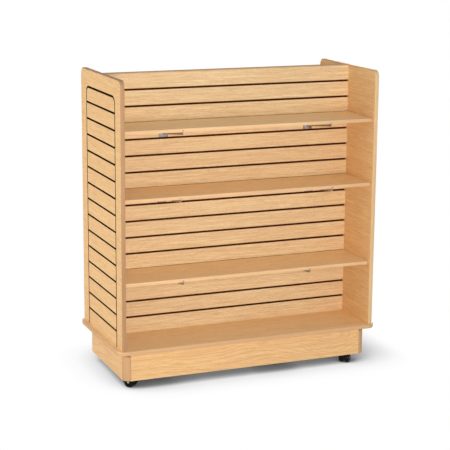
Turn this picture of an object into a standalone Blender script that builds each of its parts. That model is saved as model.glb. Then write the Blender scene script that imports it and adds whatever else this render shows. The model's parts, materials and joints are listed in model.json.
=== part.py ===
"""Slatwall gondola on casters.

A two-sided slatwall stands between two slatted end panels on a deck and a plinth. Loose shelves lie on
knife brackets that hook into the slots. Metres, +Z up, the front is -Y, the origin is on the floor below
the centre.
"""

import math

import bmesh
import bpy
from mathutils import Matrix

# Gap left between pieces that touch on the real unit
SEAT_GAP = 0.0003

# Slatwall: rows of T-slots counted up from the deck
SLAT_PITCH = 0.0762
PANEL_ROWS = 16
SLAT_BOARD_THICKNESS = 0.01905
SLOT_MOUTH = 0.0095
SLOT_LIP = 0.0045
SLOT_CAVITY_HEIGHT = 0.0195
SLOT_CAVITY_DEPTH = 0.006
CLEAR_WIDTH = 1.2192
EDGE_BAND = 0.003
EDGE_ROUND = 0.001

# End panels, each with a slatted insert let into its outer face
END_THICKNESS = 0.01905
END_DEPTH = 0.5842
END_CORNER_RADIUS = 0.032
INSERT_BORDER = 0.0762
INSERT_WEB = 0.002
INSERT_CORNER_RADIUS = 0.0254
INSERT_GROOVE = 0.0105

# Deck and plinth
DECK_THICKNESS = 0.01905
DECK_SIDE_OVERHANG = 0.01905
DECK_FRONT_OVERHANG = 0.00635
DECK_CORNER_RADIUS = 0.0381
PLINTH_HEIGHT = 0.13335
PLINTH_INSET = 0.0381
PLINTH_BOARD = 0.01905
POST_RADIUS = 0.03175
POST_TOP_GAP = 0.01905
RAIL_MARGIN = 0.006
RAIL_THICKNESS = 0.01905
RAIL_RECESS = 0.0155

# Shelves: name, slot row, and how far its two brackets stand in from the end panels
SHELVES = (
    ("top", 13, 0.2755, 0.213),
    ("middle", 9, 0.266, 0.2005),
    ("lower", 4, 0.2785, 0.3085),
)
SHELF_DEPTH = 0.250825
SHELF_THICKNESS = 0.015875
SHELF_BACK_CLEARANCE = 0.001
SHELF_SIDE_CLEARANCE = 0.003
SHELF_RISE = 0.004

# Knife brackets: a hooked plate as tall as a slat, and a blade welded to it with a lip in front
BACK_PLATE_WIDTH = 0.04445
BACK_PLATE_THICKNESS = 0.0032
BLADE_THICKNESS = 0.004
BLADE_REAR_HEIGHT = 0.046
BLADE_FRONT_HEIGHT = 0.012
HOOK_CLEARANCE = 0.0005
LIP_THICKNESS = 0.0032
LIP_HEIGHT = 0.009
NOSE_RADIUS = 0.006

# Twin-wheel casters: corner, and the way the wheels trail from the swivel axis (degrees from +X)
CASTERS = (
    ("front_left", -1, -1, 132.0),
    ("front_right", 1, -1, 228.0),
    ("back_left", -1, 1, 14.0),
    ("back_right", 1, 1, 40.0),
)
CASTER_SETBACK = 0.0115
WHEEL_RADIUS = 0.025
WHEEL_WIDTH = 0.0205
WHEEL_SHOULDER = 0.0095
WHEEL_DISH = 0.002
WHEEL_HUB_RADIUS = 0.007
WHEEL_CLEARANCE = 0.0012
WEB_THICKNESS = 0.010
WEB_RADIUS = 0.0125
HOOD_WALL = 0.0023
HOOD_WIDTH = 0.053
HOOD_SKIRT = 0.004
TRAIL = 0.0195
AXLE_RADIUS = 0.004
BOSS_RADIUS = 0.0105
BOSS_RISE = 0.0045
BOSS_LENGTH = 0.018
RACE_RADIUS = 0.019
RACE_THICKNESS = 0.0052
KINGPIN_RADIUS = 0.005
KINGPIN_LENGTH = 0.0083
PLATE_SIDE = 0.060
PLATE_THICKNESS = 0.0025
PLATE_CORNER_RADIUS = 0.006
PLATE_HOLE_SPACING = 0.044
PLATE_HOLE_RADIUS = 0.0026

# Facets
QUARTER_STEPS = 6
TURN_STEPS = 24
HOLE_STEPS = 8
WELD_DISTANCE = 1e-6

# Sizes that follow from those above
HALF_CLEAR = CLEAR_WIDTH / 2
END_OUTER = HALF_CLEAR + END_THICKNESS
SLOT_DEPTH = SLOT_LIP + SLOT_CAVITY_DEPTH
INSERT_THICKNESS = SLOT_DEPTH + INSERT_WEB
PANEL_HEIGHT = PANEL_ROWS * SLAT_PITCH
WALL_FACE = SLAT_BOARD_THICKNESS + SEAT_GAP / 2
SHELF_BACK_GAP = HOOK_CLEARANCE + BACK_PLATE_THICKNESS + SHELF_BACK_CLEARANCE
DECK_HALF_X = END_OUTER + DECK_SIDE_OVERHANG
DECK_HALF_Y = END_DEPTH / 2 + DECK_FRONT_OVERHANG
PLINTH_HALF_X = DECK_HALF_X - PLINTH_INSET
PLINTH_HALF_Y = DECK_HALF_Y - PLINTH_INSET
POST_X = PLINTH_HALF_X - POST_RADIUS
POST_Y = PLINTH_HALF_Y - POST_RADIUS
RAIL_WIDTH = PLATE_SIDE + 2 * RAIL_MARGIN
RAIL_X = POST_X - SEAT_GAP - RAIL_WIDTH / 2
PLINTH_INNER_Y = PLINTH_HALF_Y - PLINTH_BOARD
CASTER_Y = PLINTH_INNER_Y - CASTER_SETBACK - PLATE_SIDE / 2
HOOD_RADIUS = WHEEL_RADIUS + WHEEL_CLEARANCE + HOOD_WALL
BOSS_TOP = WHEEL_RADIUS + HOOD_RADIUS + BOSS_RISE
RACE_BOTTOM = BOSS_TOP + SEAT_GAP
PLATE_BOTTOM = RACE_BOTTOM + RACE_THICKNESS
CASTER_HEIGHT = PLATE_BOTTOM + PLATE_THICKNESS
RAIL_BOTTOM = CASTER_HEIGHT + SEAT_GAP
PLINTH_BOTTOM = RAIL_BOTTOM - RAIL_RECESS
PLINTH_TOP = PLINTH_BOTTOM + PLINTH_HEIGHT
DECK_TOP = PLINTH_TOP + DECK_THICKNESS
PANEL_BOTTOM = DECK_TOP + SEAT_GAP

# Turns of a flat outline: its own X and Y axes become the two world axes named
OUTLINE_YZ = (math.pi / 2, 0.0, math.pi / 2)
OUTLINE_YZ_BACK = (math.pi / 2, 0.0, -math.pi / 2)
OUTLINE_XZ = (math.pi / 2, 0.0, 0.0)
OUTLINE_XZ_BACK = (math.pi / 2, 0.0, math.pi)


def clear_scene():
    for old in list(bpy.data.objects):
        bpy.data.objects.remove(old)


def new_collection(name):
    collection = bpy.data.collections.new(name)
    bpy.context.scene.collection.children.link(collection)
    return collection


def new_material(name, colour, roughness, metallic=0.0):
    material = bpy.data.materials.new(name)
    material.use_nodes = True
    shader = material.node_tree.nodes["Principled BSDF"]
    shader.inputs["Base Color"].default_value = (*colour, 1.0)
    shader.inputs["Roughness"].default_value = roughness
    shader.inputs["Metallic"].default_value = metallic
    material.diffuse_color = (*colour, 1.0)
    return material


clear_scene()
PARTS = new_collection("slatwall_gondola")
CUTTERS = new_collection("cutters")
LAMINATE = new_material("maple_laminate", (0.79, 0.55, 0.29), 0.42)
BAND = new_material("maple_edge_band", (0.70, 0.46, 0.26), 0.38)
RAW_BOARD = new_material("raw_board", (0.52, 0.38, 0.24), 0.75)
CHROME = new_material("chrome", (0.82, 0.83, 0.85), 0.12, 1.0)
ZINC = new_material("zinc_steel", (0.62, 0.63, 0.65), 0.32, 1.0)
BLACK = new_material("black_nylon", (0.012, 0.012, 0.013), 0.28)


# Tools for meshes and objects


def add_part(name, mesh, material, location=(0, 0, 0), rotation=(0, 0, 0), parent=None):
    """A named piece of the unit, placed by its location and rotation."""
    part = bpy.data.objects.new(name, mesh)
    part.location = location
    part.rotation_euler = rotation
    part.parent = parent
    if not mesh.materials:
        mesh.materials.append(material)
    PARTS.objects.link(part)
    return part


def add_empty(name, location, turn=0.0):
    empty = bpy.data.objects.new(name, None)
    empty.location = location
    empty.rotation_euler = (0, 0, turn)
    PARTS.objects.link(empty)
    return empty


def add_cutter(name, mesh, location=(0, 0, 0), rotation=(0, 0, 0)):
    cutter = bpy.data.objects.new(name, mesh)
    cutter.location = location
    cutter.rotation_euler = rotation
    cutter.hide_render = True
    cutter.display_type = "WIRE"
    CUTTERS.objects.link(cutter)
    return cutter


def combine(part, other, operation):
    boolean = part.modifiers.new(operation.lower(), "BOOLEAN")
    boolean.operation = operation
    boolean.object = other


def round_edges(part, width, segments=2):
    bevel = part.modifiers.new("round", "BEVEL")
    bevel.width = width
    bevel.segments = segments
    bevel.limit_method = "ANGLE"
    bevel.use_clamp_overlap = False


def baked(source):
    """The mesh that an object makes, with its loose caps welded. The object itself is removed."""
    if not source.users_collection:
        CUTTERS.objects.link(source)
    bpy.context.view_layer.update()
    mesh = bpy.data.meshes.new_from_object(source.evaluated_get(bpy.context.evaluated_depsgraph_get()))
    shape = bmesh.new()
    shape.from_mesh(mesh)
    bmesh.ops.remove_doubles(shape, verts=shape.verts, dist=WELD_DISTANCE)
    bmesh.ops.recalc_face_normals(shape, faces=shape.faces)
    shape.to_mesh(mesh)
    shape.free()
    mesh.name = source.name
    bpy.data.objects.remove(source)
    return mesh


def shade_round(mesh):
    mesh.shade_smooth()
    mesh.set_sharp_from_angle(angle=math.radians(35))
    return mesh


def box_mesh(name, size):
    mesh = bpy.data.meshes.new(name)
    shape = bmesh.new()
    bmesh.ops.create_cube(shape, size=1.0, matrix=Matrix.Diagonal((*size, 1.0)))
    shape.to_mesh(mesh)
    shape.free()
    return mesh


def add_box(name, low, high, material):
    size = [b - a for a, b in zip(low, high)]
    centre = [(a + b) / 2 for a, b in zip(low, high)]
    return add_part(name, box_mesh(name, size), material, centre)


def prism_mesh(name, outlines, thickness):
    """A plate with a flat outline, centred on its own XY plane. Further outlines are holes."""
    curve = bpy.data.curves.new(name, "CURVE")
    curve.dimensions = "2D"
    curve.fill_mode = "BOTH"
    curve.extrude = thickness / 2
    for outline in outlines:
        spline = curve.splines.new("POLY")
        spline.points.add(len(outline) - 1)
        spline.use_cyclic_u = True
        for point, (x, y) in zip(spline.points, outline):
            point.co = (x, y, 0.0, 1.0)
    return baked(bpy.data.objects.new(name, curve))


def turned_mesh(name, profile, closed=False):
    """A turned shape about its own Z axis from (radius, height) points, down the outer side."""
    mesh = bpy.data.meshes.new(name)
    edges = [(i, i + 1) for i in range(len(profile) - 1)]
    if closed:
        edges.append((len(profile) - 1, 0))
    mesh.from_pydata([(radius, 0.0, height) for radius, height in profile], edges, [])
    source = bpy.data.objects.new(name, mesh)
    screw = source.modifiers.new("turn", "SCREW")
    screw.steps = TURN_STEPS
    screw.render_steps = TURN_STEPS
    screw.use_merge_vertices = True
    screw.merge_threshold = WELD_DISTANCE
    return shade_round(baked(source))


def cylinder_mesh(name, radius, bottom, top):
    return turned_mesh(name, [(0, top), (radius, top), (radius, bottom), (0, bottom)])


# Outlines


def arc(centre_x, centre_y, radius, start, end, steps=QUARTER_STEPS):
    """Points on an arc, with its angles in degrees."""
    points = []
    for step in range(steps + 1):
        angle = math.radians(start + (end - start) * step / steps)
        points.append((centre_x + radius * math.cos(angle), centre_y + radius * math.sin(angle)))
    return points


def circle(centre_x, centre_y, radius):
    return arc(centre_x, centre_y, radius, 0, 360, HOLE_STEPS)[:-1]


def rounded_rectangle(half_x, half_y, radius):
    x, y = half_x - radius, half_y - radius
    return (
        arc(x, y, radius, 0, 90)
        + arc(-x, y, radius, 90, 180)
        + arc(-x, -y, radius, 180, 270)
        + arc(x, -y, radius, 270, 360)
    )


def arch(half_width, bottom, top, radius):
    """Up one side of a panel, round its two top corners and down the other side."""
    x, y = half_width - radius, top - radius
    over = arc(x, y, radius, 0, 90) + arc(-x, y, radius, 90, 180)
    return [(half_width, bottom)] + over + [(-half_width, bottom)]


def slatted_outline(thickness, height, rows):
    """Section of a slatwall board: depth behind its face, then height, with a T-slot at each row."""
    mouth, cavity = SLOT_MOUTH / 2, SLOT_CAVITY_HEIGHT / 2
    back = SLOT_DEPTH
    points = [(thickness, 0.0), (thickness, height), (0.0, height)]
    for row in reversed(rows):
        z = row * SLAT_PITCH - SEAT_GAP
        points += [(0.0, z + mouth), (SLOT_LIP, z + mouth), (SLOT_LIP, z + cavity), (back, z + cavity)]
        points += [(back, z - cavity), (SLOT_LIP, z - cavity), (SLOT_LIP, z - mouth), (0.0, z - mouth)]
    return points + [(0.0, 0.0)]


def rows_below(height):
    """Slot rows that fit under a height above the deck, with their whole cavity."""
    return range(1, int((height - SLOT_CAVITY_HEIGHT) / SLAT_PITCH) + 1)


# Base


def deck_outline(inset):
    return rounded_rectangle(DECK_HALF_X - inset, DECK_HALF_Y - inset, DECK_CORNER_RADIUS - inset)


def build_deck():
    middle = (0, 0, DECK_TOP - DECK_THICKNESS / 2)
    board = prism_mesh("deck_board", [deck_outline(EDGE_BAND + SEAT_GAP)], DECK_THICKNESS)
    add_part("deck_board", board, LAMINATE, middle)
    band = prism_mesh("deck_edge_band", [deck_outline(0.0), deck_outline(EDGE_BAND)], DECK_THICKNESS)
    round_edges(add_part("deck_edge_band", band, BAND, middle), EDGE_ROUND)


def build_plinth():
    top = PLINTH_TOP - SEAT_GAP
    run_x, run_y = POST_X - SEAT_GAP, POST_Y - SEAT_GAP
    for name, side in (("front", -1), ("back", 1)):
        low_y, high_y = sorted((side * PLINTH_HALF_Y, side * PLINTH_INNER_Y))
        low, high = (-run_x, low_y, PLINTH_BOTTOM), (run_x, high_y, top)
        add_box(f"plinth_{name}_board", low, high, LAMINATE)
    for name, side in (("left", -1), ("right", 1)):
        low_x, high_x = sorted((side * PLINTH_HALF_X, side * (PLINTH_HALF_X - PLINTH_BOARD)))
        low, high = (low_x, -run_y, PLINTH_BOTTOM), (high_x, run_y, top)
        add_box(f"plinth_{name}_board", low, high, LAMINATE)
    reach = PLINTH_INNER_Y - SEAT_GAP
    half = PLINTH_BOARD / 2
    add_box("plinth_cross_brace", (-half, -reach, PLINTH_BOTTOM), (half, reach, top), RAW_BOARD)
    for name, side in (("left", -1), ("right", 1)):
        low_x, high_x = side * RAIL_X - RAIL_WIDTH / 2, side * RAIL_X + RAIL_WIDTH / 2
        low, high = (low_x, -reach, RAIL_BOTTOM), (high_x, reach, RAIL_BOTTOM + RAIL_THICKNESS)
        add_box(f"caster_rail_{name}", low, high, RAW_BOARD)


def build_corner_posts():
    """Quarter-round posts that stop short of the deck and leave a shadow gap."""
    height = PLINTH_HEIGHT - POST_TOP_GAP
    mesh = prism_mesh("corner_post", [[(0.0, 0.0)] + arc(0, 0, POST_RADIUS, 0, 90)], height)
    shade_round(mesh)
    corners = (
        ("back_right", 1, 1, 0),
        ("back_left", -1, 1, 90),
        ("front_left", -1, -1, 180),
        ("front_right", 1, -1, 270),
    )
    for name, side_x, side_y, turn in corners:
        place = (side_x * POST_X, side_y * POST_Y, PLINTH_BOTTOM + height / 2)
        add_part(f"corner_post_{name}", mesh, BAND, place, (0, 0, math.radians(turn)))


# Centre wall and ends


def build_centre_wall():
    height = PANEL_HEIGHT - EDGE_BAND - 2 * SEAT_GAP
    outline = slatted_outline(SLAT_BOARD_THICKNESS, height, rows_below(PANEL_HEIGHT - SLOT_CAVITY_HEIGHT))
    mesh = prism_mesh("centre_slatwall", [outline], CLEAR_WIDTH - 2 * SEAT_GAP)
    add_part("centre_slatwall_front", mesh, LAMINATE, (0, -WALL_FACE, PANEL_BOTTOM), OUTLINE_YZ)
    add_part("centre_slatwall_back", mesh, LAMINATE, (0, WALL_FACE, PANEL_BOTTOM), OUTLINE_YZ_BACK)
    run = HALF_CLEAR - SEAT_GAP
    low = (-run, -WALL_FACE, DECK_TOP + PANEL_HEIGHT - EDGE_BAND)
    cap = add_box("centre_top_band", low, (run, WALL_FACE, DECK_TOP + PANEL_HEIGHT), BAND)
    round_edges(cap, EDGE_ROUND)


def build_end(name, side, outline_turn, insert_turn):
    """One end panel: the board with a recess outside, its slatted insert and the band round its edge."""
    top = PANEL_HEIGHT - SEAT_GAP
    inset = EDGE_BAND + SEAT_GAP
    outer = arch(END_DEPTH / 2, 0.0, top, END_CORNER_RADIUS)
    inner = arch(END_DEPTH / 2 - EDGE_BAND, 0.0, top - EDGE_BAND, END_CORNER_RADIUS - EDGE_BAND)
    board = arch(END_DEPTH / 2 - inset, 0.0, top - inset, END_CORNER_RADIUS - inset)
    middle = (side * (HALF_CLEAR + END_THICKNESS / 2), 0, PANEL_BOTTOM)
    panel_mesh = prism_mesh(f"end_panel_{name}", [board], END_THICKNESS)
    panel = add_part(f"end_panel_{name}", panel_mesh, LAMINATE, middle, outline_turn)
    band_mesh = prism_mesh(f"end_edge_band_{name}", [outer + inner[::-1]], END_THICKNESS)
    round_edges(add_part(f"end_edge_band_{name}", band_mesh, BAND, middle, outline_turn), EDGE_ROUND)

    window_half = END_DEPTH / 2 - INSERT_BORDER
    window_top = PANEL_HEIGHT - INSERT_BORDER
    recess_depth = INSERT_THICKNESS + SEAT_GAP
    recess = arch(window_half, -INSERT_GROOVE, window_top, INSERT_CORNER_RADIUS + INSERT_GROOVE)
    recess_mesh = prism_mesh(f"recess_{name}", [recess], 2 * recess_depth)
    outer_face = (side * END_OUTER, 0, PANEL_BOTTOM)
    combine(panel, add_cutter(f"recess_{name}", recess_mesh, outer_face, outline_turn), "DIFFERENCE")

    insert_half = window_half - INSERT_GROOVE
    insert_top = window_top - INSERT_GROOVE
    section = slatted_outline(INSERT_THICKNESS, insert_top, rows_below(insert_top - INSERT_CORNER_RADIUS))
    insert_mesh = prism_mesh(f"end_slat_insert_{name}", [section], 2 * window_half)
    insert = add_part(f"end_slat_insert_{name}", insert_mesh, LAMINATE, outer_face, insert_turn)
    rounding = arch(insert_half, -INSERT_GROOVE, insert_top, INSERT_CORNER_RADIUS)
    rounding_mesh = prism_mesh(f"insert_shape_{name}", [rounding], 2 * END_THICKNESS)
    combine(insert, add_cutter(f"insert_shape_{name}", rounding_mesh, outer_face, outline_turn), "INTERSECT")


# Shelves and brackets


def back_plate_outline():
    """Side view of a bracket's hooked plate: depth behind the slat face, then height from the slot."""
    neck = SLOT_MOUTH / 2 - HOOK_CLEARANCE
    hook_front = SLOT_LIP + HOOK_CLEARANCE
    hook_back = SLOT_DEPTH - HOOK_CLEARANCE
    hook_top = SLOT_CAVITY_HEIGHT / 2 - HOOK_CLEARANCE
    back = -HOOK_CLEARANCE
    face = back - BACK_PLATE_THICKNESS
    foot = SLOT_MOUTH / 2 + HOOK_CLEARANCE - SLAT_PITCH
    hook = [(hook_back, -neck), (hook_back, hook_top), (hook_front, hook_top), (hook_front, neck)]
    return hook + [(face, neck), (face, foot), (back, foot), (back, -neck)]


def blade_outline():
    """Side view of a bracket's blade from inside its plate to the lip that keeps the shelf on."""
    seat = SHELF_RISE - SHELF_THICKNESS - SEAT_GAP
    root = -HOOK_CLEARANCE - BACK_PLATE_THICKNESS / 2
    lip_back = -SHELF_BACK_GAP - SHELF_DEPTH - HOOK_CLEARANCE
    front = lip_back - LIP_THICKNESS
    lip_radius = LIP_THICKNESS / 2
    lip = arc(lip_back - lip_radius, seat + LIP_HEIGHT - lip_radius, lip_radius, 0, 180, 4)
    nose = arc(front + NOSE_RADIUS, seat - BLADE_FRONT_HEIGHT + NOSE_RADIUS, NOSE_RADIUS, 180, 255, 4)
    return [(root, seat), (lip_back, seat)] + lip + nose + [(root, seat - BLADE_REAR_HEIGHT)]


def bracket_mesh():
    plate = add_cutter("bracket_plate", prism_mesh("bracket_plate", [back_plate_outline()], BACK_PLATE_WIDTH))
    blade = add_cutter("bracket_blade", prism_mesh("bracket_blade", [blade_outline()], BLADE_THICKNESS))
    combine(plate, blade, "UNION")
    mesh = baked(plate)
    bpy.data.objects.remove(blade)
    return mesh


def build_shelves():
    bracket = bracket_mesh()
    half = HALF_CLEAR - SHELF_SIDE_CLEARANCE
    back = -WALL_FACE - SHELF_BACK_GAP
    front = back - SHELF_DEPTH
    for name, row, left_inset, right_inset in SHELVES:
        slot = DECK_TOP + row * SLAT_PITCH
        low, top = slot + SHELF_RISE - SHELF_THICKNESS, slot + SHELF_RISE
        add_box(f"shelf_{name}", (-half, front + EDGE_BAND + SEAT_GAP, low), (half, back, top), LAMINATE)
        band = add_box(f"shelf_{name}_edge_band", (-half, front, low), (half, front + EDGE_BAND, top), BAND)
        round_edges(band, EDGE_ROUND)
        for hand, x in (("left", left_inset - HALF_CLEAR), ("right", HALF_CLEAR - right_inset)):
            add_part(f"bracket_{name}_{hand}", bracket, CHROME, (x, -WALL_FACE, slot), OUTLINE_YZ)


# Casters


def wheel_mesh():
    """One of a pair of wheels about its own Z axis, its inner side at zero and its dished face outward."""
    shoulder = WHEEL_RADIUS - WHEEL_SHOULDER
    bore = AXLE_RADIUS + SEAT_GAP
    floor_of_dish = WHEEL_WIDTH - WHEEL_DISH
    rim = arc(shoulder, WHEEL_WIDTH - WHEEL_SHOULDER, WHEEL_SHOULDER, 90, 0, 5)
    face = [(bore, WHEEL_WIDTH), (WHEEL_HUB_RADIUS, WHEEL_WIDTH), (WHEEL_HUB_RADIUS, floor_of_dish)]
    dish = [(shoulder - WHEEL_DISH, floor_of_dish)]
    return turned_mesh("caster_wheel", face + dish + rim + [(WHEEL_RADIUS, 0.0), (bore, 0.0)], closed=True)


def hood_mesh():
    """The swivelling hood in the caster's own frame: swivel axis on Z, wheels trailing to +X."""
    on_axle = (TRAIL, 0, WHEEL_RADIUS)
    along_axle = (-math.pi / 2, 0, 0)
    half, web = HOOD_WIDTH / 2, WEB_THICKNESS / 2
    side = HOOD_RADIUS - WHEEL_SHOULDER
    upper = arc(side, half - WHEEL_SHOULDER, WHEEL_SHOULDER, 90, 0, 3)
    lower = arc(side, WHEEL_SHOULDER - half, WHEEL_SHOULDER, 0, -90, 3)
    barrel = turned_mesh("hood_barrel", [(0.0, half)] + upper + lower + [(0.0, -half)])
    hood = add_cutter("caster_hood", barrel, on_axle, along_axle)

    open_side = box_mesh("hood_skirt", (4 * HOOD_RADIUS, 2 * HOOD_WIDTH, 2 * HOOD_RADIUS))
    skirt_place = (TRAIL, 0, WHEEL_RADIUS - HOOD_SKIRT - HOOD_RADIUS)
    web_disc = cylinder_mesh("hood_web", WEB_RADIUS, WHEEL_SHOULDER - half, half - WHEEL_SHOULDER)
    boss = cylinder_mesh("hood_boss", BOSS_RADIUS, BOSS_TOP - BOSS_LENGTH, BOSS_TOP)
    well = cylinder_mesh("wheel_well", WHEEL_RADIUS + WHEEL_CLEARANCE, web, HOOD_WIDTH)
    axle_bore = cylinder_mesh("axle_bore", AXLE_RADIUS + SEAT_GAP, -HOOD_WIDTH, HOOD_WIDTH)
    socket_floor = RACE_BOTTOM - KINGPIN_LENGTH - SEAT_GAP
    socket = cylinder_mesh("kingpin_socket", KINGPIN_RADIUS + SEAT_GAP, socket_floor, BOSS_TOP + BOSS_RISE)
    steps = (
        (open_side, skirt_place, (0, 0, 0), "DIFFERENCE"),
        (boss, (0, 0, 0), (0, 0, 0), "UNION"),
        (web_disc, on_axle, along_axle, "UNION"),
        (well, on_axle, along_axle, "DIFFERENCE"),
        (well, on_axle, (math.pi / 2, 0, 0), "DIFFERENCE"),
        (axle_bore, on_axle, along_axle, "DIFFERENCE"),
        (socket, (0, 0, 0), (0, 0, 0), "DIFFERENCE"),
    )
    helpers = []
    for mesh, place, turn, operation in steps:
        helper = add_cutter(f"hood_{mesh.name}", mesh, place, turn)
        combine(hood, helper, operation)
        helpers.append(helper)
    frame_of_barrel = hood.matrix_basis.copy()
    shape = baked(hood)
    shape.transform(frame_of_barrel)
    for helper in helpers:
        bpy.data.objects.remove(helper)
    return shade_round(shape)


def plate_mesh():
    """Top plate with its screw holes, the ball race below it and the kingpin, from the floor up."""
    half = PLATE_SIDE / 2
    reach = PLATE_HOLE_SPACING / 2
    holes = [circle(x, y, PLATE_HOLE_RADIUS) for x in (-reach, reach) for y in (-reach, reach)]
    outline = rounded_rectangle(half, half, PLATE_CORNER_RADIUS)
    plate_place = (0, 0, PLATE_BOTTOM + PLATE_THICKNESS / 2)
    blank = prism_mesh("caster_plate", [outline] + holes, PLATE_THICKNESS)
    plate = add_cutter("caster_plate", blank, plate_place)
    into_plate = PLATE_BOTTOM + PLATE_THICKNESS / 2
    pin_end = RACE_BOTTOM - KINGPIN_LENGTH
    profile = [(0.0, into_plate), (RACE_RADIUS, into_plate), (RACE_RADIUS, RACE_BOTTOM)]
    profile += [(KINGPIN_RADIUS, RACE_BOTTOM), (KINGPIN_RADIUS, pin_end), (0.0, pin_end)]
    race = add_cutter("caster_race", turned_mesh("caster_race", profile))
    combine(plate, race, "UNION")
    mesh = baked(plate)
    mesh.transform(Matrix.Translation(plate_place))
    bpy.data.objects.remove(race)
    return shade_round(mesh)


def build_casters():
    plate, hood, wheel = plate_mesh(), hood_mesh(), wheel_mesh()
    axle_half = WEB_THICKNESS / 2 + SEAT_GAP + WHEEL_WIDTH
    axle = cylinder_mesh("caster_axle", AXLE_RADIUS, -axle_half, axle_half)
    side_of_wheel = WEB_THICKNESS / 2 + SEAT_GAP
    for name, side_x, side_y, heading in CASTERS:
        place = (side_x * RAIL_X, side_y * CASTER_Y, 0)
        swivel = add_empty(f"caster_{name}_swivel", place, math.radians(heading))
        add_part(f"caster_{name}_plate", plate, ZINC, place)
        add_part(f"caster_{name}_hood", hood, BLACK, parent=swivel)
        on_axle = (TRAIL, 0, WHEEL_RADIUS)
        add_part(f"caster_{name}_axle", axle, ZINC, on_axle, (-math.pi / 2, 0, 0), swivel)
        for hand, side, turn in (("a", 1, -math.pi / 2), ("b", -1, math.pi / 2)):
            seat = (TRAIL, side * side_of_wheel, WHEEL_RADIUS)
            add_part(f"caster_{name}_wheel_{hand}", wheel, BLACK, seat, (turn, 0, 0), swivel)


build_deck()
build_plinth()
build_corner_posts()
build_centre_wall()
build_end("left", -1, OUTLINE_YZ, OUTLINE_XZ)
build_end("right", 1, OUTLINE_YZ, OUTLINE_XZ_BACK)
build_shelves()
build_casters()
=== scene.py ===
"""Looks of the slatwall gondola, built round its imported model.

Boards keep their CAD shape and get laminate, band and fibreboard finishes. Bands, posts, brackets and casters
are finished as softened pieces of their own, and the caster plates get their screws. Metres, +Z up, front -Y.
"""

import json
import math

import bpy
from mathutils import Matrix, Vector

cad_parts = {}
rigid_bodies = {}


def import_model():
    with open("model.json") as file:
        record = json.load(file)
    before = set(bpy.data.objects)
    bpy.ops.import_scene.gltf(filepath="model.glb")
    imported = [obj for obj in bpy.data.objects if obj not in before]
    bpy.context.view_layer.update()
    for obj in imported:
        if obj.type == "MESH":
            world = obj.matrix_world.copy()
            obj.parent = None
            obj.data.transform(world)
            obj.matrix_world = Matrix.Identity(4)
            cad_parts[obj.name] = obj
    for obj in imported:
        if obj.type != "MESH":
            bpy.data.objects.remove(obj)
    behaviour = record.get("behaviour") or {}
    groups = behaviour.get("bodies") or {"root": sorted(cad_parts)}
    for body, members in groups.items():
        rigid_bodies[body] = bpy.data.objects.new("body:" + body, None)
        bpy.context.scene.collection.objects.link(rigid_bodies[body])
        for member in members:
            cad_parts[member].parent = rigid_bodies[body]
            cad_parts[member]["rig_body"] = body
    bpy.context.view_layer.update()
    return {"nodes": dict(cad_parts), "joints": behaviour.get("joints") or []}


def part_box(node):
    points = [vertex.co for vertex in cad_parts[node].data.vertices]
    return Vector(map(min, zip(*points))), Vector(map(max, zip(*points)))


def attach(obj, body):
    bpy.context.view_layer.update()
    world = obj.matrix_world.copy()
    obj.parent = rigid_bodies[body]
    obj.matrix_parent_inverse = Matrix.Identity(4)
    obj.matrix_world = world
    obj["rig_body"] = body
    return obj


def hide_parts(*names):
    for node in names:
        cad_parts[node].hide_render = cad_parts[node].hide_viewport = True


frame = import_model()

CORNERS = ("front_left", "front_right", "back_left", "back_right")
SHELVES = ("top", "middle", "lower")

# Casters, as in the part's source
WHEEL_RADIUS = 0.025
WHEEL_WIDTH = 0.0205
WHEEL_SHOULDER = 0.0095
WHEEL_DISH = 0.002
WHEEL_HUB_RADIUS = 0.007
WHEEL_BORE = 0.0043
WHEEL_INNER_SIDE = 0.0053
AXLE_RADIUS = 0.004
AXLE_HALF = 0.0258
PLATE_SCREW_REACH = 0.022
PLATE_THICKNESS = 0.0025

# Fine shape of the casters: rounds, the tread's parting groove, the raised ring on a wheel's face (half its
# width at the foot and at the crown, and its height), the slope of its hub, and the axle's domed ends
WHEEL_SIDES = 48
WHEEL_ROUND = 0.0008
TREAD_GROOVE = (0.0042, 0.0052)
TREAD_GROOVE_DEPTH = 0.0004
FACE_RING = (0.0008, 0.0004, 0.0006)
HUB_SLOPE = 0.0005
AXLE_SIDES = 24
AXLE_ROUND = 0.0008
AXLE_FLAT_SHARE = 0.55

# Pan-head screws. The recess is length, width and depth, and the turns are in degrees
SCREW_SIDES = 24
SCREW_HEAD_RADIUS = 0.0044
SCREW_HEAD_HEIGHT = 0.0022
SCREW_RIM_SHARE = 0.55
SCREW_SHANK_RADIUS = 0.0021
SCREW_RECESS = (0.0052, 0.0011, 0.0013)
SCREW_TURNS = (12, 55, 31, 78)

# Rounds of posts and brackets
POST_ROUND = 0.0008
BRACKET_ROUND = 0.0006

# Camera, fitted to the edges and slot lines of the photograph
CAMERA_PLACE = (-2.5364, -6.1219, 2.172)
CAMERA_AZIMUTH = -22.373
CAMERA_ELEVATION = 12.709
CAMERA_ROLL = 0.460
CAMERA_LENS = 114.28

# Light from all round, and each lamp's name, place, aim, diameter and watts
AMBIENT = 0.34
LAMPS = (
    ("key_lamp", (-1.1, -4.1, 1.2), (-0.2, 0, 0.75), 1.6, 90.0),
    ("top_lamp", (-0.3, -2.2, 3.4), (-0.1, 0, 0.5), 2.4, 15.0),
    ("left_lamp", (-4.6, 0.1, 1.1), (-0.6, 0, 0.8), 1.5, 70.0),
    ("back_lamp", (3.0, 4.4, 2.0), (0, 0, 0.75), 2.2, 150.0),
)
FLOOR_SIZE = 60.0
FLOOR_GREY = 0.9

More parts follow.
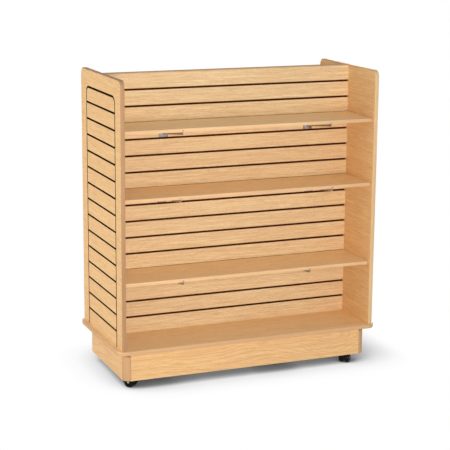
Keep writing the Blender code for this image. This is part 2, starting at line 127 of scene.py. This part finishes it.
# The floor's shadow, of a light from the front and left: how far it reaches, the way to the light, and the
# floor's tone from deep shade to the open floor
SHADOW_REACH = 0.3
SHADOW_SAMPLES = 64
SHADOW_LIGHT = (-0.5, -0.5, 0.6)
SHADOW_TONES = ((0.30, 0.07), (0.48, 0.20), (0.60, 0.46), (0.74, 0.76), (0.88, 0.95), (0.97, 1.0))

# Points nearer than this are one point, and faces that differ by less than this angle are one face
MERGE = 1e-5
FLAT_ANGLE = math.radians(1.0)
# Edges that turn by more than this are sharp
SHARP_ANGLE = math.radians(35.0)


# Node building


def srgb(red, green, blue):
    """A screen colour, 0 to 255, as the linear colour that a socket takes."""
    def linear(value):
        value /= 255
        return value / 12.92 if value <= 0.04045 else ((value + 0.055) / 1.055) ** 2.4
    return (linear(red), linear(green), linear(blue), 1.0)


def fill_ramp(ramp, stops):
    """Sets a colour ramp's stops from (position, colour) pairs."""
    elements = ramp.elements
    while len(elements) < len(stops):
        elements.new(1.0)
    for element, (position, colour) in zip(elements, stops):
        element.position = position
        element.color = colour


class Finish:
    """A procedural material while its nodes are laid out."""

    def __init__(self, name, metallic=0.0, specular=None):
        self.material = bpy.data.materials.new(name)
        self.material.use_nodes = True
        self.tree = self.material.node_tree
        self.shader = self.tree.nodes["Principled BSDF"]
        self.shader.inputs["Metallic"].default_value = metallic
        if specular is not None:
            self.shader.inputs["Specular IOR Level"].default_value = specular
        self.coordinates = self.add("ShaderNodeTexCoord")

    def add(self, kind, inputs=None, **settings):
        node = self.tree.nodes.new(kind)
        for key, value in settings.items():
            setattr(node, key, value)
        for key, value in (inputs or {}).items():
            self.feed(value, node.inputs[key])
        return node

    def feed(self, value, socket):
        if isinstance(value, bpy.types.NodeSocket):
            self.tree.links.new(value, socket)
        else:
            socket.default_value = value

    def math(self, operation, first, second=0.0):
        return self.add("ShaderNodeMath", {0: first, 1: second}, operation=operation).outputs[0]

    def dot(self, first, second):
        node = self.add("ShaderNodeVectorMath", {0: first, 1: second}, operation="DOT_PRODUCT")
        return node.outputs["Value"]

    def total(self, *terms):
        """The sum of (value, weight) pairs."""
        result = None
        for value, weight in terms:
            part = self.math("MULTIPLY", value, weight)
            result = part if result is None else self.math("ADD", result, part)
        return result

    def stretched(self, scale, shift=(0, 0, 0)):
        inputs = {"Vector": self.coordinates.outputs["Object"], "Scale": scale, "Location": shift}
        return self.add("ShaderNodeMapping", inputs).outputs["Vector"]

    def along(self, grain, slow, fast, shift=(0, 0, 0)):
        """Object coordinates drawn out along the grain axis."""
        return self.stretched([slow if axis == grain else fast for axis in "xyz"], shift)

    def across(self, grain):
        """How far a point lies across the grain of a board: the sum of the two other coordinates."""
        sides = [0.0 if axis == grain else 1.0 for axis in "xyz"]
        return self.dot(self.coordinates.outputs["Object"], sides)

    def noise(self, place, detail=2.0, roughness=0.5):
        inputs = {"Vector": place, "Scale": 1.0, "Detail": detail, "Roughness": roughness}
        return self.add("ShaderNodeTexNoise", inputs).outputs[0]

    def between(self, value, low, high, start=0.0, end=1.0):
        inputs = {"Value": value, "From Min": low, "From Max": high, "To Min": start, "To Max": end}
        return self.add("ShaderNodeMapRange", inputs, interpolation_type="SMOOTHSTEP").outputs["Result"]

    def ramp(self, value, *stops):
        node = self.add("ShaderNodeValToRGB", {"Fac": value})
        fill_ramp(node.color_ramp, stops)
        return node.outputs["Color"]

    def mixed(self, share, first, second):
        node = self.add("ShaderNodeMix", {0: share, 6: first, 7: second}, data_type="RGBA")
        return node.outputs[2]

    def worn_edges(self, radius):
        """One along the edges and corners of a piece, nought on its flats."""
        rounded = self.add("ShaderNodeBevel", {"Radius": radius}, samples=4).outputs["Normal"]
        facing = self.add("ShaderNodeNewGeometry").outputs["Normal"]
        return self.between(self.dot(rounded, facing), 0.995, 0.90)

    def surface(self, colour, roughness, height, strength, distance):
        bump = {"Strength": strength, "Distance": distance, "Height": height}
        self.feed(colour, self.shader.inputs["Base Color"])
        self.feed(roughness, self.shader.inputs["Roughness"])
        self.feed(self.add("ShaderNodeBump", bump).outputs["Normal"], self.shader.inputs["Normal"])
        return self.material


# Finishes

# Maple laminate, from its dark lines to its pale ones: on the walls, on the ends and plinth, and on the
# shelves and deck, whose tones are lighter as painted light on their tops. The fibreboard in the wall's
# slots, the near-black painted shade in the ends' grooves and the edge bands go from dark to light too
WALL_MAPLE = (srgb(222, 186, 135), srgb(239, 209, 161), srgb(248, 227, 183))
OUTER_MAPLE = (srgb(225, 176, 117), srgb(243, 199, 140), srgb(251, 218, 162))
# Shelves and deck: the walls' maple painted lighter, as painted light on their tops
SHELF_DECK_MAPLE_PAINTED_LIGHT = (srgb(246, 201, 144), srgb(252, 217, 161), srgb(255, 229, 180))
MAPLE_BLUSH = srgb(229, 183, 142)
MAPLE_FLECK = srgb(172, 118, 70)
MAPLE_WORN = srgb(246, 224, 186)
SLOT_BROWN = (srgb(72, 26, 12), srgb(104, 44, 22))
# Near black in the ends' grooves and round their inserts: painted shade
SLOT_PAINTED_SHADE = (srgb(16, 3, 1), srgb(34, 9, 3))
CAP_BAND = (srgb(204, 164, 122), srgb(224, 187, 145))
DECK_BAND = (srgb(204, 158, 115), srgb(222, 178, 133))
SHELF_BAND = (srgb(220, 175, 129), srgb(239, 197, 149))
# Right end band: painted paler, as painted light
END_BAND_PAINTED_LIGHT = (srgb(212, 172, 124), srgb(232, 198, 150))
POST_BAND = (srgb(190, 146, 104), srgb(210, 167, 124))
# Left end band: the same band painted darker and rosier, as painted shade
END_BAND_PAINTED_SHADE = (srgb(173, 130, 94), srgb(192, 150, 111))

# Growth rings: how far apart they lie, and how much they sway, where 2 pi is one ring
RING_PITCH = 0.014
RING_SWAY = 105.0
# How deep the laminate goes into a grooved board
LAMINATE_SKIN = 0.0007


def maple_laminate(name, grain, shift, figure=0.2, tones=WALL_MAPLE, core=None, specular=0.1, matte=0.38):
    """Printed maple laminate with its grain along one axis: growth rings in dashes, flecks, pores and blush.

    shift moves the print, so that boards differ, and figure is how strongly the rings show. core is (axis,
    face, inwards, thickness, colours) of a grooved board, whose colours fill the grooves: brown fibreboard on
    the wall's boards, and near-black painted shade on the ends.
    matte is the least roughness.
    """
    finish = Finish(name, specular=specular)
    sway = finish.noise(finish.along(grain, 2.4, 7.0, shift), detail=1.0, roughness=0.4)
    field = finish.total((finish.across(grain), 2 * math.pi / RING_PITCH), (sway, RING_SWAY))
    rings = finish.between(finish.math("SINE", field), 0.1, 1.0)
    streaks = finish.noise(finish.along(grain, 3.0, 170.0, shift), detail=3.0, roughness=0.65)
    dashes = finish.noise(finish.along(grain, 14.0, 280.0, shift), detail=3.0, roughness=0.65)
    pores = finish.noise(finish.along(grain, 150.0, 400.0, shift), detail=1.0, roughness=0.6)
    clouds = finish.noise(finish.along(grain, 1.3, 4.2, shift), detail=2.0)
    blush = finish.noise(finish.along(grain, 5.0, 190.0, shift), detail=3.0, roughness=0.6)
    tone = finish.total((clouds, 0.08), (streaks, 0.42), (pores, 0.5))
    colour = finish.ramp(tone, *zip((0.36, 0.50, 0.64), tones))
    colour = finish.mixed(finish.between(blush, 0.38, 0.62, 0.0, 0.32), colour, MAPLE_BLUSH)
    grit = finish.total((dashes, 0.5), (pores, 0.5))
    flecks = finish.math("MULTIPLY", finish.between(grit, 0.48, 0.64), 0.44)
    growth = finish.math("MULTIPLY", rings, finish.between(grit, 0.38, 0.58))
    late = finish.math("MAXIMUM", finish.math("MULTIPLY", growth, figure), flecks)
    colour = finish.mixed(late, colour, MAPLE_FLECK)
    worn = finish.worn_edges(0.0012)
    colour = finish.mixed(finish.math("MULTIPLY", worn, 0.22), colour, MAPLE_WORN)
    roughness = finish.total((streaks, 0.14), (worn, 0.12), (pores, 0.12))
    roughness = finish.math("ADD", roughness, matte)
    height = finish.total((streaks, 0.4), (dashes, -0.3), (pores, -0.3))
    if core:
        axis, face, inwards, thickness, (dark, light) = core
        place = finish.add("ShaderNodeSeparateXYZ", {0: finish.coordinates.outputs["Object"]}).outputs[axis]
        depth = finish.math("MULTIPLY", finish.math("SUBTRACT", place, face), inwards)
        inside = finish.math("GREATER_THAN", depth, LAMINATE_SKIN)
        back = finish.math("LESS_THAN", depth, thickness - LAMINATE_SKIN)
        groove = finish.math("MULTIPLY", inside, back)
        speckle = finish.noise(finish.stretched((520, 520, 520)), detail=4.0, roughness=0.7)
        colour = finish.mixed(groove, colour, finish.ramp(speckle, (0.3, dark), (0.7, light)))
        roughness = finish.math("MAXIMUM", roughness, finish.math("MULTIPLY", groove, 0.95))
    return finish.surface(colour, roughness, height, 0.12, 0.0004)


def maple_band(name, across, tones, specular=0.08):
    """Plastic edge band printed with maple. Its lines vary across the band and run along it."""
    finish = Finish(name, specular=specular)
    streaks = finish.noise(finish.stretched([260.0 if axis == across else 3.0 for axis in "xyz"]), detail=3.0)
    clouds = finish.noise(finish.stretched([30.0 if axis == across else 2.2 for axis in "xyz"]), detail=2.0)
    pebble = finish.noise(finish.stretched((1400, 1400, 1400)), detail=1.0)
    tone = finish.total((streaks, 0.55), (clouds, 0.45))
    colour = finish.ramp(tone, *zip((0.30, 0.68), tones))
    worn = finish.worn_edges(0.0016)
    colour = finish.mixed(finish.math("MULTIPLY", worn, 0.25), colour, MAPLE_WORN)
    roughness = finish.math("ADD", finish.total((streaks, 0.18), (worn, 0.1)), 0.46)
    height = finish.total((streaks, 0.5), (pebble, 0.3))
    return finish.surface(colour, roughness, height, 0.12, 0.0003)


def raw_fibreboard(name):
    """Bare board of pressed fibre: chips and specks, rubbed pale at its edges."""
    finish = Finish(name)
    chips = finish.add("ShaderNodeTexVoronoi", {"Vector": finish.stretched((170, 170, 260)), "Scale": 1.0})
    speckle = finish.noise(finish.stretched((420, 420, 420)), detail=4.0, roughness=0.7)
    tone = finish.total((chips.outputs["Distance"], 0.35), (speckle, 0.65))
    tones = (srgb(124, 88, 54), srgb(172, 132, 88), srgb(204, 168, 122))
    colour = finish.ramp(tone, *zip((0.25, 0.5, 0.75), tones))
    worn = finish.worn_edges(0.003)
    colour = finish.mixed(finish.math("MULTIPLY", worn, 0.3), colour, srgb(206, 176, 136))
    return finish.surface(colour, finish.between(speckle, 0.2, 0.8, 0.7, 0.92), speckle, 0.5, 0.0006)


def bright_chrome(name):
    """Plated metal, faintly brushed and smeared, duller at its edges. Its faint warm tint is a painted
    reflection of the wood round it.
    """
    finish = Finish(name, metallic=1.0)
    brushed = finish.noise(finish.stretched((900, 40, 900)), detail=3.0)
    smears = finish.noise(finish.stretched((14, 22, 30)), detail=3.0, roughness=0.6)
    worn = finish.worn_edges(0.0009)
    # Faintly warm grey: a painted reflection of the wood round the brackets
    colour = finish.ramp(smears, (0.3, srgb(146, 140, 137)), (0.7, srgb(176, 169, 165)))
    colour = finish.mixed(finish.math("MULTIPLY", worn, 0.5), colour, srgb(118, 112, 108))
    roughness = finish.math("ADD", finish.total((smears, 0.16), (brushed, 0.08), (worn, 0.1)), 0.12)
    return finish.surface(colour, roughness, brushed, 0.05, 0.0001)


def zinc_plate(name):
    """Zinc with a fine spangle, darker at its edges."""
    finish = Finish(name, metallic=1.0)
    spangle = finish.add("ShaderNodeTexVoronoi", {"Vector": finish.stretched((260, 260, 260)), "Scale": 1.0})
    smears = finish.noise(finish.stretched((60, 60, 60)), detail=4.0, roughness=0.6)
    tone = finish.total((spangle.outputs["Distance"], 0.4), (smears, 0.6))
    colour = finish.ramp(tone, (0.25, srgb(150, 152, 154)), (0.75, srgb(198, 200, 203)))
    worn = finish.worn_edges(0.001)
    colour = finish.mixed(finish.math("MULTIPLY", worn, 0.4), colour, srgb(122, 122, 124))
    roughness = finish.between(tone, 0.2, 0.8, 0.28, 0.48)
    return finish.surface(colour, roughness, smears, 0.1, 0.0002)


def black_nylon(name, smoothest, roughest):
    """Moulded nylon: a fine pebbled skin, paler where edges have rubbed."""
    finish = Finish(name, specular=0.12)
    pebble = finish.noise(finish.stretched((1500, 1500, 1500)), detail=2.0)
    smears = finish.noise(finish.stretched((70, 70, 70)), detail=3.0, roughness=0.6)
    colour = finish.ramp(smears, (0.3, srgb(4, 4, 5)), (0.75, srgb(10, 10, 11)))
    worn = finish.worn_edges(0.0012)
    colour = finish.mixed(finish.math("MULTIPLY", worn, 0.2), colour, srgb(40, 39, 38))
    roughness = finish.between(smears, 0.25, 0.75, smoothest, roughest)
    return finish.surface(colour, roughness, pebble, 0.08, 0.0002)


# Mesh work, as by hand


def select_only(piece):
    bpy.ops.object.select_all(action="DESELECT")
    piece.select_set(True)
    bpy.context.view_layer.objects.active = piece


def soften(piece, width=0.0):
    """Small rounds of a width on the sharp edges, then smooth shading on all but the true corners."""
    select_only(piece)
    if width:
        bevel = piece.modifiers.new("softened", "BEVEL")
        bevel.width = width
        bevel.segments = 2
        bevel.limit_method = "ANGLE"
        bevel.angle_limit = SHARP_ANGLE
        bpy.ops.object.modifier_apply(modifier=bevel.name)
    bpy.ops.object.shade_smooth_by_angle(angle=SHARP_ANGLE)


def paint(piece, finish):
    piece.data.materials.clear()
    piece.data.materials.append(finish)


def seat(piece, name, finish, node):
    """Names a finished piece, sets it on the body of a CAD node and stands it in for that node."""
    piece.name = name
    piece.data.name = name
    paint(piece, finish)
    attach(piece, frame["nodes"][node]["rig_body"])
    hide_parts(node)


def softened_copy(node, name, finish, width=0.0):
    """A copy of a CAD node with its triangles merged into whole faces and its edges softened."""
    piece = bpy.data.objects.new(name, frame["nodes"][node].data.copy())
    bpy.context.scene.collection.objects.link(piece)
    select_only(piece)
    bpy.ops.object.mode_set(mode="EDIT")
    bpy.ops.mesh.select_all(action="SELECT")
    bpy.ops.mesh.remove_doubles(threshold=MERGE)
    bpy.ops.mesh.dissolve_limited(angle_limit=FLAT_ANGLE)
    bpy.ops.object.mode_set(mode="OBJECT")
    soften(piece, width)
    seat(piece, name, finish, node)


# Turned pieces


def turned(profile, steps):
    """A shape turned about +Z from a closed line of (radius, height) points.

    A small plane is merged to one point, which is drawn out along the line, and the line is spun.
    """
    bpy.ops.object.select_all(action="DESELECT")
    bpy.ops.mesh.primitive_plane_add(size=WHEEL_RADIUS)
    piece = bpy.context.object
    bpy.ops.object.mode_set(mode="EDIT")
    bpy.ops.mesh.select_mode(type="VERT")
    bpy.ops.mesh.select_all(action="SELECT")
    bpy.ops.mesh.merge(type="CENTER")
    radius, height = profile[0]
    bpy.ops.transform.translate(value=(radius, 0, height))
    for (radius, height), (next_radius, next_height) in zip(profile, profile[1:] + profile[:1]):
        step = (next_radius - radius, 0, next_height - height)
        bpy.ops.mesh.extrude_region_move(TRANSFORM_OT_translate={"value": step})
    bpy.ops.mesh.select_all(action="SELECT")
    bpy.ops.mesh.spin(steps=steps, angle=2 * math.pi, center=(0, 0, 0), axis=(0, 0, 1))
    bpy.ops.mesh.select_all(action="SELECT")
    bpy.ops.mesh.remove_doubles(threshold=MERGE)
    bpy.ops.mesh.normals_make_consistent(inside=False)
    bpy.ops.object.mode_set(mode="OBJECT")
    return piece


def bend(centre, radius, start, end, steps):
    """Points round part of a circle in a turned profile, with its angles in degrees."""
    angles = [math.radians(start + (end - start) * step / steps) for step in range(steps + 1)]
    return [(centre[0] + radius * math.cos(a), centre[1] + radius * math.sin(a)) for a in angles]


def model_wheel():
    """One wheel about +Z: inner side at zero, grooved tread, and a dished face with a ring and a hub."""
    shoulder = WHEEL_RADIUS - WHEEL_SHOULDER
    dish = WHEEL_WIDTH - WHEEL_DISH
    low, high = TREAD_GROOVE
    floor = WHEEL_RADIUS - TREAD_GROOVE_DEPTH
    ring = (WHEEL_HUB_RADIUS + shoulder) / 2
    foot, crown, rise = FACE_RING
    hub_round = WHEEL_ROUND / 2
    profile = [(WHEEL_BORE, 0.0)]
    profile += bend((WHEEL_RADIUS - WHEEL_ROUND, WHEEL_ROUND), WHEEL_ROUND, -90, 0, 3)
    profile += [(WHEEL_RADIUS, low), (floor, low), (floor, high), (WHEEL_RADIUS, high)]
    profile += bend((shoulder, WHEEL_WIDTH - WHEEL_SHOULDER), WHEEL_SHOULDER, 0, 90, 8)
    profile += [(shoulder - WHEEL_ROUND, WHEEL_WIDTH), (shoulder - WHEEL_DISH, dish)]
    profile += [(ring + foot, dish), (ring + crown, dish + rise)]
    profile += [(ring - crown, dish + rise), (ring - foot, dish)]
    profile += [(WHEEL_HUB_RADIUS + HUB_SLOPE, dish), (WHEEL_HUB_RADIUS, WHEEL_WIDTH - hub_round)]
    profile += [(WHEEL_HUB_RADIUS - hub_round, WHEEL_WIDTH), (WHEEL_BORE, WHEEL_WIDTH)]
    wheel = turned(profile, WHEEL_SIDES)
    soften(wheel)
    return wheel


def model_axle():
    """A riveted axle about +Z, domed at both ends."""
    flat = AXLE_RADIUS * AXLE_FLAT_SHARE
    side = AXLE_HALF - AXLE_ROUND
    profile = [(0.0, -AXLE_HALF), (flat, -AXLE_HALF), (AXLE_RADIUS, -side)]
    profile += [(AXLE_RADIUS, side), (flat, AXLE_HALF), (0.0, AXLE_HALF)]
    axle = turned(profile, AXLE_SIDES)
    soften(axle)
    return axle


def model_screw():
    """A pan-head screw with a cross recess, its head below zero and its shank above."""
    bottom = -SCREW_HEAD_HEIGHT
    rim = SCREW_HEAD_HEIGHT * SCREW_RIM_SHARE
    profile = [(0.0, bottom), (SCREW_HEAD_RADIUS - rim, bottom)]
    profile += bend((SCREW_HEAD_RADIUS - rim, bottom + rim), rim, -75, 0, 4)
    profile += [(SCREW_HEAD_RADIUS, 0.0), (SCREW_SHANK_RADIUS, 0.0)]
    profile += [(SCREW_SHANK_RADIUS, PLATE_THICKNESS), (0.0, PLATE_THICKNESS)]
    screw = turned(profile, SCREW_SIDES)
    length, width, depth = SCREW_RECESS
    for turn in (0.0, math.pi / 2):
        bpy.ops.object.select_all(action="DESELECT")
        bpy.ops.mesh.primitive_cube_add(size=1.0, location=(0, 0, bottom), rotation=(0, 0, turn))
        blade = bpy.context.object
        blade.scale = (length, width, 2 * depth)
        select_only(screw)
        recess = screw.modifiers.new("recess", "BOOLEAN")
        recess.object = blade
        recess.solver = "EXACT"
        bpy.ops.object.modifier_apply(modifier=recess.name)
        bpy.data.objects.remove(blade)
    soften(screw)
    return screw


def placed(model, name, matrix):
    """A copy of a model with its own mesh, moved in its mesh to where it belongs."""
    piece = bpy.data.objects.new(name, model.data.copy())
    piece.data.transform(matrix)
    bpy.context.scene.collection.objects.link(piece)
    return piece


def upright_to(direction):
    """The turn from +Z to a direction."""
    return Vector((0, 0, 1)).rotation_difference(direction).to_matrix().to_4x4()


def dress_casters():
    nylon = black_nylon("hood_nylon", 0.12, 0.24)
    tread = black_nylon("wheel_nylon", 0.12, 0.26)
    zinc = zinc_plate("zinc_plate")
    spin = {joint["child"]: joint for joint in frame["joints"]}
    wheel, axle, screw = model_wheel(), model_axle(), model_screw()
    for corner in CORNERS:
        caster = f"caster_{corner}"
        for hand in "ab":
            node = f"{caster}_wheel_{hand}"
            joint = spin[node]
            hub, along = Vector(joint["pos_m"]), Vector(joint["axis"])
            low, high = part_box(node)
            out = along if ((low + high) / 2 - hub).dot(along) > 0 else -along
            piece = placed(wheel, node, Matrix.Translation(hub + out * WHEEL_INNER_SIDE) @ upright_to(out))
            seat(piece, f"{node}_moulded", tread, node)
        piece = placed(axle, f"{caster}_axle", Matrix.Translation(hub) @ upright_to(along))
        seat(piece, f"{caster}_axle_riveted", zinc, f"{caster}_axle")
        softened_copy(f"{caster}_hood", f"{caster}_hood_moulded", nylon)
        softened_copy(f"{caster}_plate", f"{caster}_plate_pressed", zinc)
        low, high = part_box(f"{caster}_plate")
        middle = (low + high) / 2
        middle.z = high.z - PLATE_THICKNESS
        for number, (x, y) in enumerate(((-1, -1), (1, -1), (1, 1), (-1, 1)), 1):
            spot = middle + PLATE_SCREW_REACH * Vector((x, y, 0))
            turn = Matrix.Rotation(math.radians(SCREW_TURNS[number - 1]), 4, "Z")
            piece = placed(screw, f"{caster}_screw_{number}", Matrix.Translation(spot) @ turn)
            paint(piece, zinc)
            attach(piece, "carcass")
    for model in (wheel, axle, screw):
        bpy.data.objects.remove(model)


# Boards, bands, posts and brackets


def grooved(node, axis, outward, colours):
    """The core of a board that is grooved on its outward face, as maple_laminate takes it."""
    low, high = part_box(node)
    return (axis, (low if outward < 0 else high)[axis], -outward, (high - low)[axis], colours)


def dress_boards():
    # The deck's maple is painted lighter than the walls', as painted light on its top
    deck = maple_laminate("deck_laminate", "x", (3.1, 0.4, 0), tones=SHELF_DECK_MAPLE_PAINTED_LIGHT, specular=0.5, matte=0.3)
    boards = {"deck_board": deck}
    for side, outward, shift in (("front", -1, (0.2, 0, 7.3)), ("back", 1, (5.2, 0, 1.3))):
        wall = f"centre_slatwall_{side}"
        core = grooved(wall, 1, outward, SLOT_BROWN)
        boards[wall] = maple_laminate(f"{side}_slat_laminate", "x", shift, core=core)
    for side, outward in (("left", -1), ("right", 1)):
        panel, insert = f"end_panel_{side}", f"end_slat_insert_{side}"
        # The grooves of the end panels and their inserts are filled with near-black painted shade
        core = grooved(panel, 0, outward, SLOT_PAINTED_SHADE)
        shift = (outward, 2.6, 3.3)
        boards[panel] = maple_laminate(f"{side}_end_laminate", "y", shift, 0.1, OUTER_MAPLE, core, 0.04)
        core = grooved(insert, 0, outward, SLOT_PAINTED_SHADE)
        shift = (outward, 4.1, 6.2)
        boards[insert] = maple_laminate(f"{side}_insert_laminate", "y", shift, 0.16, OUTER_MAPLE, core, 0.04)
    along_front = maple_laminate("plinth_front_laminate", "x", (8.4, 0, 2.2), 0.38, OUTER_MAPLE)
    along_side = maple_laminate("plinth_side_laminate", "y", (0, 9.4, 5.2), 0.38, OUTER_MAPLE)
    boards["plinth_front_board"] = boards["plinth_back_board"] = along_front
    boards["plinth_left_board"] = boards["plinth_right_board"] = along_side
    shift = (6.6, 1.7, 4.9)
    # The shelves' maple is painted lighter than the walls', as painted light on their tops
    shelf = maple_laminate("shelf_laminate", "x", shift, 0.06, SHELF_DECK_MAPLE_PAINTED_LIGHT, specular=0.36, matte=0.34)
    for name in SHELVES:
        boards[f"shelf_{name}"] = shelf
    raw = raw_fibreboard("raw_fibreboard")
    for name in ("plinth_cross_brace", "caster_rail_left", "caster_rail_right"):
        boards[name] = raw
    for node, finish in boards.items():
        paint(frame["nodes"][node], finish)


def dress_edges():
    deck = maple_band("deck_band", "z", DECK_BAND)
    shelf = maple_band("shelf_band", "z", SHELF_BAND)
    # The two end bands are one band, painted paler on the right as painted light and darker on the left as
    # painted shade
    pale = maple_band("end_band_painted_light", "x", END_BAND_PAINTED_LIGHT)
    cap = maple_band("cap_band", "y", CAP_BAND, specular=0.0)
    rosy = maple_band("end_band_painted_shade", "x", END_BAND_PAINTED_SHADE)
    post = maple_band("post_band", "x", POST_BAND)
    bands = {"deck_edge_band": deck, "centre_top_band": cap}
    bands["end_edge_band_left"] = rosy
    bands["end_edge_band_right"] = pale
    for name in SHELVES:
        bands[f"shelf_{name}_edge_band"] = shelf
    for node, finish in bands.items():
        softened_copy(node, f"{node}_softened", finish)
    for corner in CORNERS:
        node = f"corner_post_{corner}"
        softened_copy(node, f"{node}_softened", post, POST_ROUND)


def dress_brackets():
    chrome = bright_chrome("bright_chrome")
    for name in SHELVES:
        for hand in ("left", "right"):
            bracket = f"bracket_{name}_{hand}"
            softened_copy(bracket, f"{bracket}_plated", chrome, BRACKET_ROUND)


# Stage, light and camera


def seen_directly(tree):
    """One for rays that the camera, a mirror or glass sends, nought for the light that falls on things."""
    path = tree.nodes.new("ShaderNodeLightPath")
    total = path.outputs["Is Camera Ray"]
    for name in ("Is Glossy Ray", "Is Transmission Ray"):
        add = tree.nodes.new("ShaderNodeMath")
        add.operation = "ADD"
        add.use_clamp = True
        tree.links.new(total, add.inputs[0])
        tree.links.new(path.outputs[name], add.inputs[1])
        total = add.outputs[0]
    return total


def lay_floor():
    """A pale floor that keeps the shadow of the unit, and that is seen through from below."""
    bpy.ops.object.select_all(action="DESELECT")
    bpy.ops.mesh.primitive_plane_add(size=FLOOR_SIZE)
    floor = bpy.context.object
    floor.name = "studio_floor"
    material = bpy.data.materials.new("studio_floor")
    material.use_nodes = True
    tree = material.node_tree
    tree.nodes.clear()
    diffuse = tree.nodes.new("ShaderNodeBsdfDiffuse")
    diffuse.inputs["Color"].default_value = (FLOOR_GREY, FLOOR_GREY, FLOOR_GREY, 1)
    light = tree.nodes.new("ShaderNodeCombineXYZ")
    for socket, value in zip(light.inputs, Vector(SHADOW_LIGHT).normalized()):
        socket.default_value = value
    shade = tree.nodes.new("ShaderNodeAmbientOcclusion")
    shade.samples = SHADOW_SAMPLES
    shade.inputs["Distance"].default_value = SHADOW_REACH
    ramp = tree.nodes.new("ShaderNodeValToRGB")
    fill_ramp(ramp.color_ramp, [(position, (tone, tone, tone, 1)) for position, tone in SHADOW_TONES])
    glow = tree.nodes.new("ShaderNodeEmission")
    mix = tree.nodes.new("ShaderNodeMixShader")
    side = tree.nodes.new("ShaderNodeNewGeometry")
    clear = tree.nodes.new("ShaderNodeBsdfTransparent")
    one_sided = tree.nodes.new("ShaderNodeMixShader")
    output = tree.nodes.new("ShaderNodeOutputMaterial")
    tree.links.new(light.outputs["Vector"], shade.inputs["Normal"])
    tree.links.new(shade.outputs["AO"], ramp.inputs["Fac"])
    tree.links.new(ramp.outputs["Color"], glow.inputs["Color"])
    tree.links.new(seen_directly(tree), mix.inputs["Fac"])
    tree.links.new(diffuse.outputs["BSDF"], mix.inputs[1])
    tree.links.new(glow.outputs["Emission"], mix.inputs[2])
    tree.links.new(side.outputs["Backfacing"], one_sided.inputs["Fac"])
    tree.links.new(mix.outputs["Shader"], one_sided.inputs[1])
    tree.links.new(clear.outputs["BSDF"], one_sided.inputs[2])
    tree.links.new(one_sided.outputs["Shader"], output.inputs["Surface"])
    floor.data.materials.append(material)


def light_room():
    world = bpy.data.worlds.new("studio")
    bpy.context.scene.world = world
    world.use_nodes = True
    tree = world.node_tree
    background = tree.nodes["Background"]
    background.inputs["Color"].default_value = (1, 1, 1, 1)
    strength = tree.nodes.new("ShaderNodeMapRange")
    strength.inputs["To Min"].default_value = AMBIENT
    strength.inputs["To Max"].default_value = 1.0
    tree.links.new(seen_directly(tree), strength.inputs["Value"])
    tree.links.new(strength.outputs["Result"], background.inputs["Strength"])
    for name, place, target, size, power in LAMPS:
        lamp = bpy.data.lights.new(name, "AREA")
        lamp.shape = "DISK"
        lamp.size = size
        lamp.energy = power
        holder = bpy.data.objects.new(name, lamp)
        holder.location = place
        aim = Vector(target) - Vector(place)
        holder.rotation_euler = aim.to_track_quat("-Z", "Y").to_euler()
        bpy.context.scene.collection.objects.link(holder)


def set_camera():
    camera = bpy.data.cameras.new("photo_view")
    camera.lens = CAMERA_LENS
    holder = bpy.data.objects.new("photo_view", camera)
    turn = Matrix.Rotation(math.radians(CAMERA_AZIMUTH), 4, "Z")
    tip = Matrix.Rotation(math.radians(90 - CAMERA_ELEVATION), 4, "X")
    roll = Matrix.Rotation(math.radians(CAMERA_ROLL), 4, "Z")
    holder.matrix_world = Matrix.Translation(CAMERA_PLACE) @ turn @ tip @ roll
    bpy.context.scene.collection.objects.link(holder)
    bpy.context.scene.camera = holder


dress_boards()
dress_edges()
dress_brackets()
dress_casters()
lay_floor()
light_room()
set_camera()
bpy.context.scene.view_settings.view_transform = "Standard"
